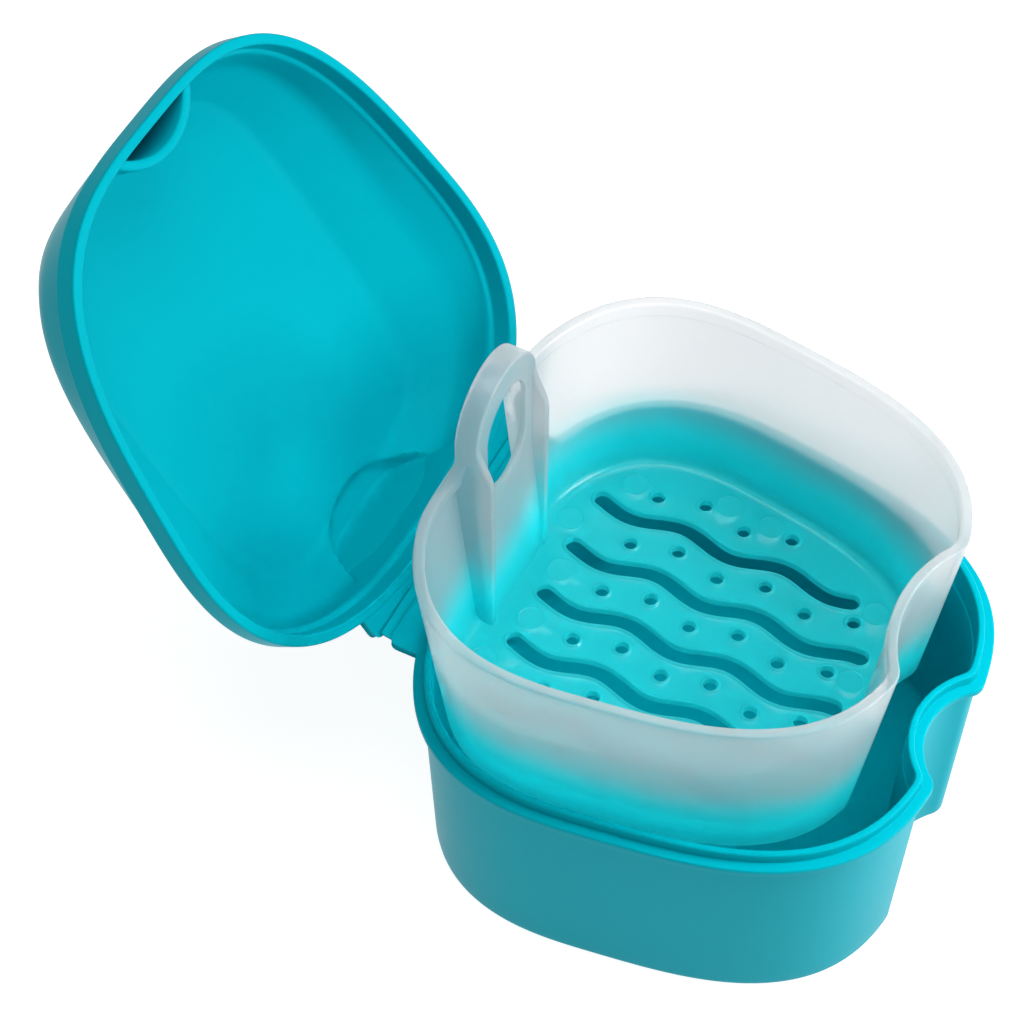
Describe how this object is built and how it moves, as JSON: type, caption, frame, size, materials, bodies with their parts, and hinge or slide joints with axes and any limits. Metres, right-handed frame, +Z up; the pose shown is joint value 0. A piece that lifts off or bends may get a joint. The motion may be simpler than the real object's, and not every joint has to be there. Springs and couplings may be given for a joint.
{
  "type": "denture case",
  "caption": "Denture soaking case with a domed lid on a living hinge, a finger scallop at the front and a lift-out strainer basket.",
  "frame": {"origin": "middle of the tub's flat underside", "axes": "+Z up, -Y towards the finger scallop, +Y towards the hinge, X along the hinge line"},
  "size_m": [0.0952, 0.1608, 0.1224],
  "materials": {
    "tub": "moulded polypropylene, satin gloss",
    "hinge_web": "thin flexed polypropylene",
    "lid": "moulded polypropylene, satin gloss",
    "basket": "frosted natural polypropylene"
  },
  "bodies": {
    "tub_body": {"tub": "tub", "hinge_web": "hinge_web"},
    "lid_body": {"lid": "lid"},
    "basket_body": {"basket": "basket"}
  },
  "joints": [
    {"name": "lid_hinge", "type": "hinge", "parent": "tub_body", "child": "lid_body", "pos_m": [0, 0.0472, 0.04335], "axis": [-1, 0, 0], "range_deg": [-124, 0]},
    {"name": "basket_lift", "type": "slide", "parent": "tub_body", "child": "basket_body", "axis": [0, 0.1084, 0.9941], "range_m": [-0.0332, 0]}
  ],
  "couplings": [
    {"joint": "basket_lift", "follows": "lid_hinge", "m_per_rad": 0.015339}
  ]
}
